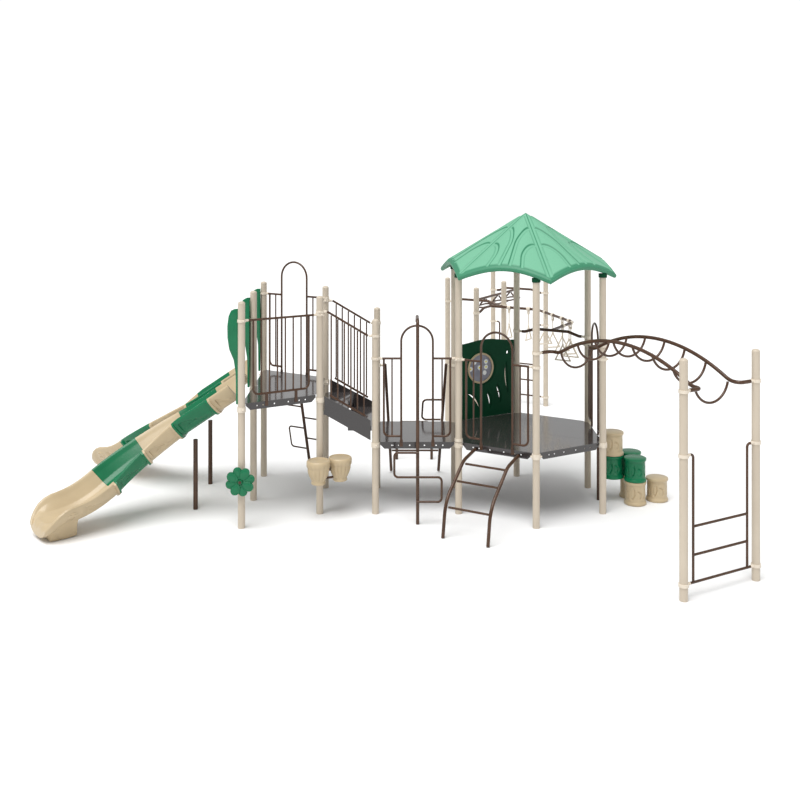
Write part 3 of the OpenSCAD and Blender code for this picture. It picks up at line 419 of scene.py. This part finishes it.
exit_stations = [0, 0.022, 0.028, 0.06, 0.09, 0.12, 0.15, 0.18, 0.22, 0.26, 0.3, 0.34, 0.38, 0.42, 0.46,
                 0.5, 0.545, 0.575, 0.6, 0.635, 0.67, 0.7, 0.735, 0.77, 0.8, 0.82, 0.84, 0.86, 0.875,
                 0.905, 0.925, 0.942, 0.958, 0.975]
exit_shape = [(0.54, 1, 0, 0), (0.68, 0.98, 0.004, 0), (0.77, 0.88, 0.03, 0.002), (0.84, 0.72, 0.065, 0.008),
              (0.875, 0.6, 0.088, 0.02), (0.905, 0.48, 0.105, 0.032), (0.942, 0.3, 0.125, 0.058),
              (0.975, 0.12, 0.13, 0.104)]


def exit_piece(name, flip):
    def place(row, col):
        d = exit_stations[round(row * (len(exit_stations) - 1))]
        rim, dip, narrow = exit_shape[0][1:]
        for (d0, *low), (d1, *high) in zip(exit_shape, exit_shape[1:]):
            if d > d0:
                u = min(1, (d - d0) / (d1 - d0))
                rim, dip, narrow = [p + (q - p) * u for p, q in zip(low, high)]
        foot = 1 if 0.57 < d < 0.88 else 0
        high = 2 * (col if col <= 0.5 else 1 - col)
        boss = -0.016 * (1 - smooth(0.055, 0.075, math.hypot(d - 0.66, (high - 0.29) * 0.9)))
        ring = 0.012 * (1 - smooth(0.035, 0.05, math.hypot(d - 0.66, (high - 0.29) * 0.9)))
        across, up = channel_point(col, 0.024 if d <= 0.023 else 0, rim, dip, narrow, foot,
                                   pressed(d, 0.1, 0.5, col) + boss + ring)
        p = slide_place(joints[4] + 0.0005 + d, across, up)
        return (p.x, 2 * roof_centre.y - p.y, p.z) if flip else p
    piece = grid_piece(name, len(exit_stations) - 1, around, place)
    close_piece(piece)
    smooth_piece(piece, 40)
    return piece


tan_plastic = finish("tan_plastic", (0.54, 0.43, 0.272), (0.5, 0.395, 0.248), 0.3, 4, 0.03, 0.0, 0.15)
green_plastic = finish("green_plastic", (0.003, 0.165, 0.066), (0.002, 0.14, 0.056), 0.26, 4, 0.03, 0.0, 0.15)


def joined(name, pieces):
    bpy.ops.object.select_all(action="DESELECT")
    for piece in pieces:
        piece.select_set(True)
    bpy.context.view_layer.objects.active = pieces[0]
    bpy.ops.object.join()
    pieces[0].name = name
    return pieces[0]


for side, flip in (("front", False), ("back", True)):
    fit_piece(joined(f"{side}_slide_tan", [section_piece("tan", i, flip) for i in (0, 2)]
                     + [exit_piece("exit", flip)]),
              tan_plastic, "structure", "tan_plastic", f"slide_{side}_tan")
    fit_piece(joined(f"{side}_slide_green", [section_piece("green", i, flip) for i in (1, 3)]),
              green_plastic, "structure", "green_plastic", f"slide_{side}_green")


# Hoods: four bulged blades beside the slide entries, with a raised panel inside a rolled edge.
blade_outline = [(1.514, 0.03), (1.62, 0.031), (1.896, 0.034), (2.06, 0.06), (2.19, 0.116), (2.33, 0.136),
                 (2.48, 0.138), (2.6, 0.122), (2.668, 0.092), (2.688, 0.05)]
post_r = 0.04445


def blade(post, offset):
    rows = 60

    def place(row, col):
        z = 1.514 + row * (2.688 - 1.514)
        for (z0, w0), (z1, w1) in zip(blade_outline, blade_outline[1:]):
            if z >= z0:
                width = w0 + (w1 - w0) * min(1, (z - z0) / (z1 - z0))
        front = 1 if col <= 0.5 else -1
        across = 2 * (col if col <= 0.5 else 1 - col)
        swell = 0.35 + 0.65 * math.sin(math.pi * (0.04 + 0.92 * row))
        bulge = 0.043 * math.sqrt(max(0.0, 1 - across ** 2.6)) * swell
        panel = smooth(0.2, 0.3, across) * (1 - smooth(0.72, 0.82, across)) * smooth(0.25, 0.3, row) * (
            1 - smooth(0.9, 0.95, row))
        return (post.x - post_r - width * across, post.y + offset + front * (bulge - 0.007 * panel), z)
    piece = grid_piece("blade", rows, 36, place)
    close_piece(piece)
    smooth_piece(piece, 50)
    return piece


hoods = joined("hoods", [blade(post_1, 0.04), blade(post_2, -0.05), blade(post_2, 0.05),
                         blade(post_3, -0.04)])
fit_piece(hoods, green_plastic, "structure", "green_plastic", "slide_hoods")


# Turned pieces: an outline of radius and height goes round an upright axis. A carve function
# of the turn and the height presses marks into the wall.
def turned(name, centre, outline, around, carve):
    def place(row, col):
        k = row * (len(outline) - 1)
        i = min(int(k), len(outline) - 2)
        r = outline[i][0] + (outline[i + 1][0] - outline[i][0]) * (k - i)
        z = outline[i][1] + (outline[i + 1][1] - outline[i][1]) * (k - i)
        angle = 2 * math.pi * col
        r -= carve(angle, z) if r > 0.001 else 0
        return centre.x + r * math.cos(angle), centre.y + r * math.sin(angle), centre.z + z
    piece = grid_piece(name, len(outline) - 1, around, place)
    close_piece(piece)
    smooth_piece(piece, 45)
    return piece


# Stumps: hollow drums with a rounded flange at both ends, and leaf-like ovals carved into the
# wall. They stand in steps, tan below and above, green between.
stump_h = 0.305
stump_r = 0.131
flange_r = 0.146
lower_half = [(0, 0), (flange_r - 0.01, 0), (flange_r - 0.002, 0.004), (flange_r, 0.012), (flange_r, 0.024),
              (flange_r - 0.003, 0.032), (stump_r + 0.006, 0.04), (stump_r, 0.054)]
wall = [(stump_r, 0.054 + (stump_h - 0.108) * k / 24) for k in range(1, 24)]
stump_outline = lower_half + wall + [(r, stump_h - 0.0004 - z) for r, z in reversed(lower_half)]
ovals = [(0.3, 0.15, 0.03, 0.062, 0.3), (1.0, 0.14, 0.036, 0.05, -0.4), (1.9, 0.16, 0.028, 0.066, 0.2),
         (2.7, 0.14, 0.034, 0.052, -0.3), (3.5, 0.15, 0.03, 0.064, 0.35), (4.25, 0.15, 0.03, 0.07, -0.15),
         (4.9, 0.14, 0.036, 0.05, 0.45), (5.65, 0.15, 0.03, 0.062, -0.2)]


def leaf_marks(angle, z):
    depth = 0.0
    for turn, height, half_w, half_h, lean in ovals:
        x = ((angle - turn + math.pi) % (2 * math.pi) - math.pi) * stump_r
        y = z - height
        x, y = x * math.cos(lean) + y * math.sin(lean), y * math.cos(lean) - x * math.sin(lean)
        size = math.hypot(x / half_w, y / half_h)
        groove = 0.013 * math.exp(-((size - 0.9) / 0.17) ** 2)
        depth = max(depth, groove * (0.35 + 0.65 * smooth(-0.01, 0.01, x)))
    return depth


def stump(x, y, level):
    centre = post_c + Vector((x, module / 2 + y))
    return turned("stump", Vector((*centre, level * stump_h + 0.0002)), stump_outline, 120, leaf_marks)


stump_x = [0.235, 0.502, 0.827]
stump_side = 0.148
tan_stumps = [stump(stump_x[0], 0, 2), stump(stump_x[2], 0, 0)]
tan_stumps += [stump(stump_x[1], side * stump_side, 0) for side in (-1, 1)]
green_stumps = [stump(stump_x[0], 0, 1)]
green_stumps += [stump(stump_x[1], side * stump_side, 1) for side in (-1, 1)]
fit_piece(joined("stumps_tan", tan_stumps), tan_plastic, "structure", "tan_plastic", "tan_stumps")
fit_piece(joined("stumps_green", green_stumps), green_plastic, "structure", "green_plastic", "green_stumps")

# Drums: goblets with a flat lid, a thick scalloped rim, a fluted body and a flared foot.
drum_z = 0.442
drum_outline = [(0, 0), (0.07, 0), (0.086, 0.004), (0.092, 0.012), (0.092, 0.026), (0.087, 0.036),
                (0.086, 0.044)]
drum_outline += [(0.086 + 0.052 * math.sin(math.pi / 2 * k / 14), 0.044 + 0.156 * k / 14)
                 for k in range(1, 15)]
drum_outline += [(0.141, 0.212), (0.149, 0.222), (0.152, 0.236), (0.152, 0.262), (0.15, 0.283),
                 (0.144, 0.296),
                 (0.134, 0.302), (0.126, 0.3), (0.121, 0.291)]
drum_outline += [(0.12 * (1 - k / 12), 0.289 + 0.0015 * math.sin(2.2 * k)) for k in range(1, 13)]


def flutes(angle, z):
    body = smooth(0.04, 0.07, z) * (1 - smooth(0.185, 0.205, z))
    rim = smooth(0.205, 0.215, z) * (1 - smooth(0.23, 0.25, z))
    return 0.011 * body * abs(math.cos(7 * angle)) ** 6 + 0.009 * rim * abs(math.cos(7 * angle)) ** 2


drums = [turned("drum", Vector((post_4.x + x, post_4.y + y, drum_z)), drum_outline, 120, flutes)
         for x, y in ((0, -0.224), (0.264, -0.068))]
fit_piece(joined("drum_pair", drums), tan_plastic, "structure", "tan_plastic", "drums")

# Flower: a spinning wheel with four broad petals over four narrow ones, each with a pressed
# line inside its edge, and a button in the middle.
flower_back = post_1.y - 0.102
petal_out = 0.126
petal_r = 0.056


def petal_edge(angle):
    off = (angle - math.radians(15) + math.radians(22.5)) % math.radians(45) - math.radians(22.5)
    return petal_out * math.cos(off) + math.sqrt(petal_r ** 2 - (petal_out * math.sin(off)) ** 2)


def petal_height(rho, angle):
    if rho < 0.03:
        return 0.035
    height = 0.014
    for broad in (False, True):
        for k in range(4):
            off = angle - math.radians(15 + 45 * broad + 90 * k)
            out, side = rho * math.cos(off), rho * math.sin(off)
            size = math.hypot((out - 0.108) / 0.077, side / ((0.058 if broad else 0.044) * (0.7 + out * 2.2)))
            if size < 1 and out > 0:
                groove = 0.004 * math.exp(-((size - 0.68) / 0.1) ** 2)
                top = (0.026 if broad else 0.018) + 0.009 * math.sqrt(1 - size ** 2) - groove
                height = max(height, top) if not broad else top
    return height


def flower_point(row, col):
    angle = 2 * math.pi * col
    edge = petal_edge(angle)
    if row < 0.08:
        rho, depth = 0.009 + (edge - 0.012) * row / 0.08, 0
    elif row < 0.14:
        rho, depth = edge, 0.012 * (row - 0.08) / 0.06 + 0.001
    else:
        rho = 0.009 + (edge - 0.0095) * (1 - row) / 0.86
        depth = petal_height(rho, angle)
    return post_1.x + rho * math.cos(angle), flower_back - depth, 0.6 + rho * math.sin(angle)


flower = grid_piece("flower", 50, 240, flower_point)
close_piece(flower)
smooth_piece(flower, 45)
fit_piece(flower, green_plastic, "flower", "green_plastic", "flower_wheel")


# Play panel: thick sheet plastic, matt dark green, with a wavy top, curved slits in leaf-like
# recesses, two finger holes, and a round window in a tan ring with white daisies behind it.
panel_mid = (post_e + post_f) / 2
panel_along = (post_f - post_e).normalized()
panel_inward = Vector((-panel_along.y, panel_along.x))
window_at = (0.096, 1.607)


def panel_point(x, out, z):
    p = panel_mid + panel_along * x + panel_inward * out
    return p.x, p.y, z


def prism(name, outline, out_0, out_1):
    """Closed plate with an outline in the panel's plane, between two depths."""
    bpy.ops.object.select_all(action="DESELECT")
    bpy.ops.mesh.primitive_cylinder_add(vertices=len(outline), radius=1, depth=2)
    piece = bpy.context.object
    piece.name = name
    for k, v in enumerate(piece.data.vertices):
        x, z = outline[k // 2]
        v.co = panel_point(x, out_0 if v.co.z < 0 else out_1, z)
    bpy.ops.object.mode_set(mode="EDIT")
    bpy.ops.mesh.select_all(action="SELECT")
    bpy.ops.mesh.normals_make_consistent(inside=False)
    bpy.ops.object.mode_set(mode="OBJECT")
    return piece


def cut(piece, cutter):
    bpy.ops.object.select_all(action="DESELECT")
    piece.select_set(True)
    bpy.context.view_layer.objects.active = piece
    bpy.ops.object.modifier_add(type="BOOLEAN")
    piece.modifiers[-1].operation = "DIFFERENCE"
    piece.modifiers[-1].solver = "EXACT"
    piece.modifiers[-1].object = cutter
    bpy.ops.object.modifier_apply(modifier=piece.modifiers[-1].name)
    bpy.data.objects.remove(cutter, do_unlink=True)


def circle(x, z, r, count=72):
    return [(x + r * math.cos(2 * math.pi * k / count), z + r * math.sin(2 * math.pi * k / count))
            for k in range(count)]


def leaf(top, bottom, bow, half):
    """Outline of a bowed slit or recess between two points, widest in its middle."""
    run = Vector(bottom) - Vector(top)
    normal = Vector((-run.y, run.x)).normalized()
    edge = []
    for side in (1, -1):
        for k in range(17):
            t = k / 16 if side == 1 else 1 - k / 16
            width = side * half * math.sin(math.pi * min(max(t, 0.02), 0.98)) ** 0.6
            p = Vector(top) + run * t + normal * (4 * bow * t * (1 - t) + width)
            edge.append((p.x, p.y))
    return edge


panel_half = 0.476
panel_t = 0.03
wave = [(panel_half * (1 - k / 20), 1.96 + 0.0225 * (1 + math.cos(math.pi * (k / 20 - 1))))
        for k in range(41)]
board = prism("panel_board", [(-panel_half, 0.918), (panel_half, 0.918)] + wave, -panel_t / 2, panel_t / 2)
slits = [((0.302, 1.266), (0.114, 1.041), -0.03), ((-0.019, 1.25), (-0.067, 1.067), -0.008),
         ((-0.176, 1.333), (-0.237, 1.128), -0.01), ((-0.34, 1.643), (-0.37, 1.251), 0.022)]
cut(board, prism("ring_recess", circle(*window_at, 0.25), panel_t / 2 - 0.007, panel_t / 2 + 0.01))
cut(board, prism("window_hole", circle(*window_at, 0.19), -0.05, 0.05))
for top, bottom, bow in slits:
    low = (bottom[0], bottom[1] - 0.03)
    high = (top[0], top[1] + 0.03)
    cut(board, prism("recess", leaf(high, low, bow, 0.034), panel_t / 2 - 0.01, panel_t / 2 + 0.01))
    cut(board, prism("slit", leaf(top, bottom, bow, 0.012), -0.05, 0.05))
for x, z, r in ((-0.364, 1.79, 0.024), (0.411, 1.25, 0.016)):
    cut(board, prism("finger_hole", circle(x, z, r, 32), -0.05, 0.05))
smooth_piece(board, 25)
panel_plastic = finish("panel_plastic", (0.003, 0.055, 0.023), (0.002, 0.046, 0.019), 0.55, 5, 0.06)
panel_plastic.node_tree.nodes["Principled BSDF"].inputs["Specular IOR Level"].default_value = 0.1
fit_piece(board, panel_plastic, "structure", "panel_plastic", "play_panel")
dress(panel_plastic, "roof_sockets")

ring_section = [(0.189, 0.003), (0.216, 0.003), (0.216, 0.010), (0.213, 0.014), (0.207, 0.016),
                (0.196, 0.016),
                (0.190, 0.012), (0.189, 0.003)]


def ring_point(side):
    def place(row, col):
        r, out = ring_section[round(row * (len(ring_section) - 1))]
        angle = 2 * math.pi * col
        base = panel_t / 2 - 0.007 if side == 1 else panel_t / 2
        return panel_point(window_at[0] + r * math.cos(angle), side * (base + out - 0.0028),
                           window_at[1] + r * math.sin(angle))
    return place


rings = []
for side in (1, -1):
    ring = grid_piece("ring", len(ring_section) - 1, 96, ring_point(side))
    close_piece(ring)
    smooth_piece(ring, 40)
    rings.append(ring)
fit_piece(joined("window_rings", rings), tan_plastic, "structure", "tan_plastic", "window_ring")

daisies = [(0.166, 0.0), (0.017, 0.008), (-0.094, 0.008), (-0.094, 0.084), (0.1, 0.09), (-0.07, -0.07)]


def daisy_share(x, z):
    """0 on the pane, 0.5 on a petal and 1 on a yellow middle."""
    share = 0.0
    for k, (cx, cz) in enumerate(daisies):
        rho = math.hypot(x - cx, z - cz)
        angle = math.atan2(z - cz, x - cx)
        if rho < 0.013 and k < 4:
            return 1.0
        if rho < 0.021 + 0.015 * abs(math.cos(4.5 * angle + k)) ** 0.5:
            share = 0.5
    return share


def pane_point(row, col):
    angle = 2 * math.pi * col
    r, out = (0.189 * row / 0.08, -0.005) if row < 0.08 else (0.189 * (1 - row) / 0.92, 0.004)
    return panel_point(window_at[0] + r * math.cos(angle), out, window_at[1] + r * math.sin(angle))


pane = grid_piece("window_pane", 110, 320, pane_point)
close_piece(pane, 0.00005)
marks = pane.data.attributes.new("daisy", "FLOAT", "POINT")
for v in pane.data.vertices:
    offset = Vector((v.co.x, v.co.y)) - panel_mid
    marks.data[v.index].value = daisy_share(offset.dot(panel_along) - window_at[0], v.co.z - window_at[1])
smooth_piece(pane, 40)
disc_plastic = finish("disc_plastic", (0.27, 0.27, 0.33), (0.2, 0.2, 0.25), 0.3, 14, 0.02)
tree = disc_plastic.node_tree
shader = tree.nodes["Principled BSDF"]
daisy = tree.nodes.new("ShaderNodeAttribute")
daisy.attribute_name = "daisy"
inks = tree.nodes.new("ShaderNodeValToRGB")
inks.color_ramp.interpolation = "CONSTANT"
inks.color_ramp.elements[0].color = (0.85, 0.85, 0.85, 1)
inks.color_ramp.elements[1].position = 0.75
inks.color_ramp.elements[1].color = (0.85, 0.75, 0.02, 1)
printed = tree.nodes.new("ShaderNodeMix")
printed.data_type = "RGBA"
on = tree.nodes.new("ShaderNodeMath")
on.operation = "GREATER_THAN"
on.inputs[1].default_value = 0.25
ground_tone = shader.inputs["Base Color"].links[0].from_socket
tree.links.new(daisy.outputs["Fac"], inks.inputs["Fac"])
tree.links.new(daisy.outputs["Fac"], on.inputs[0])
tree.links.new(on.outputs["Value"], printed.inputs["Factor"])
tree.links.new(ground_tone, printed.inputs["A"])
tree.links.new(inks.outputs["Color"], printed.inputs["B"])
tree.links.new(printed.outputs["Result"], shader.inputs["Base Color"])
fit_piece(pane, disc_plastic, "structure", "disc_plastic", "window_disc")

# Roof: one moulded shell with six sloping sides and arched eaves, in pale mint green. Curved veins spring
# from each ridge and run down to the eaves, pressed in between raised panels. Painted shade darkens the
# panels' edges, most of all the lower ones, and a dark line is painted along each ridge.
roof_r = 1.205
tip_z = 3.02
rim_rise = 0.14
apex_z = 3.836


def roof_surface(angle_share, r):
    """Outer face of the roof: share of the full turn, and share of the way out to the eaves."""
    side = (angle_share * 6) % 1
    angle = math.radians(8 - 30) + 2 * math.pi * angle_share
    out = roof_r * math.cos(math.radians(30)) / math.cos(math.radians(60 * side - 30))
    arch = 1 - (2 * side - 1) ** 2
    low = tip_z + rim_rise * arch + 0.05
    return (roof_centre.x + out * r * math.cos(angle), roof_centre.y + out * r * math.sin(angle),
            low + (apex_z - low) * (1 - r))


slant = 1.44
half_side = 0.6
rib_half = 0.022
ridge_half = 0.042
ribs = [(0.27, 0.6, 0.13), (0.53, 0.82, 0.42)]


def rib_gap(u, r, start, end, land):
    """Signed distance in metres from a rib that leaves the ridge at u = 1 and turns downhill."""
    if r >= end:
        return (land - u) * half_side * r
    across, down = (1 - u) / (1 - land), (end - r) / (end - start)
    reach = max(1e-4, math.hypot(across, down))
    slope = math.hypot(across / reach / ((1 - land) * half_side * max(0.1, r)),
                       down / reach / ((end - start) * slant))
    return (reach - 1) / slope


def vein_relief_and_shade(angle_share, r):
    """Height of the raised panels, 0 to 1, and the painted shade on their edges, 0 to 1."""
    u = 2 * ((angle_share * 6) % 1) - 1
    off_ridge = (1 - abs(u)) * half_side * r
    gaps = [rib_gap(s * u, r, *rib) for s in (-1, 1) for rib in ribs]
    rib_side = min(abs(g) for g in gaps) - rib_half
    foot = (0.96 - r) * slant
    inset = min(rib_side, off_ridge - ridge_half, foot)
    # Painted shade on the panel edges: full on the lower edges and one side of each vein, about a third as
    # strong on the ridge side and the other vein side.
    line = 0.9 * (1 - smooth(0.004, 0.013, abs(inset)))
    if inset == off_ridge - ridge_half:
        line *= 0.35
    elif inset == rib_side and min(gaps, key=abs) < 0:
        line *= 0.35
    # A dark line painted along the ridge.
    ridge_dark_line = 0.85 * (1 - smooth(0.004, 0.01, off_ridge))
    return smooth(-0.004, 0.008, inset), max(line, ridge_dark_line)


under_rows = 9
rim_rows = 7
outer_rows = 108
roof_rows = under_rows + rim_rows + outer_rows


def roof_place(row, col):
    """Rows run from the inside of the apex out to the eaves, round the rim and up the outside."""
    k = round(row * roof_rows)
    if k <= under_rows:
        x, y, z = roof_surface(col, 0.965 * k / under_rows)
        return x, y, z - 0.036 - 0.05 * (k / under_rows) ** 8
    if k <= under_rows + rim_rows:
        share = (k - under_rows) / rim_rows
        x, y, z = roof_surface(col, 0.965 + 0.035 * math.sin(math.pi / 2 * share))
        return x, y, z - 0.086 + 0.062 * share ** 1.6
    r = 1 - (k - under_rows - rim_rows) / outer_rows
    x, y, z = roof_surface(col, r)
    roll = 0.024 * (1 - smooth(0.0, 0.035, (1 - r) * slant)) if r > 0.9 else 0
    return x, y, z - 0.010 * (1 - vein_relief_and_shade(col, r)[0]) - roll


roof = grid_piece("roof_shell", roof_rows, 6 * 128, roof_place)
close_piece(roof, 0.0002)
# This attribute carries painted shade: dark panel edges and ridge line outside, and a darkened underside and
# rim.
depth = roof.data.attributes.new("vein_painted_shade", "FLOAT", "POINT")
for v in roof.data.vertices:
    flat = Vector((v.co.x - roof_centre.x, v.co.y - roof_centre.y))
    share = ((math.atan2(flat.y, flat.x) - math.radians(8 - 30)) / (2 * math.pi)) % 1
    side = (share * 6) % 1
    out = roof_r * math.cos(math.radians(30)) / math.cos(math.radians(60 * side - 30))
    r = flat.length / out
    top = roof_surface(share, r)[2]
    # Underside and rolled rim get a flat 0.8: painted shade under the eaves.
    depth.data[v.index].value = vein_relief_and_shade(share, r)[1] if v.co.z > top - 0.02 and r < 0.97 else 0.8
smooth_piece(roof, 35)

mint = bpy.data.materials.new("mint_plastic")
mint.use_nodes = True
tree = mint.node_tree
shader = tree.nodes["Principled BSDF"]
vein_painted_shade = tree.nodes.new("ShaderNodeAttribute")
vein_painted_shade.attribute_name = "vein_painted_shade"
place = tree.nodes.new("ShaderNodeTexCoord")
speckle = tree.nodes.new("ShaderNodeTexNoise")
speckle.inputs["Scale"].default_value = 90
tones = tree.nodes.new("ShaderNodeValToRGB")
tones.color_ramp.elements[0].color = (0.135, 0.40, 0.25, 1)
tones.color_ramp.elements[1].color = (0.17, 0.46, 0.295, 1)
# Dark green mixed in by the vein attribute: painted shade.
shade = tree.nodes.new("ShaderNodeMix")
shade.data_type = "RGBA"
shade.inputs["B"].default_value = (0.01, 0.18, 0.085, 1)
tree.links.new(place.outputs["Object"], speckle.inputs["Vector"])
tree.links.new(speckle.outputs["Fac"], tones.inputs["Fac"])
tree.links.new(tones.outputs["Color"], shade.inputs["A"])
tree.links.new(vein_painted_shade.outputs["Fac"], shade.inputs["Factor"])
tree.links.new(shade.outputs["Result"], shader.inputs["Base Color"])
shader.inputs["Roughness"].default_value = 0.5
fit_piece(roof, mint, "structure", "roof_plastic", "roof")
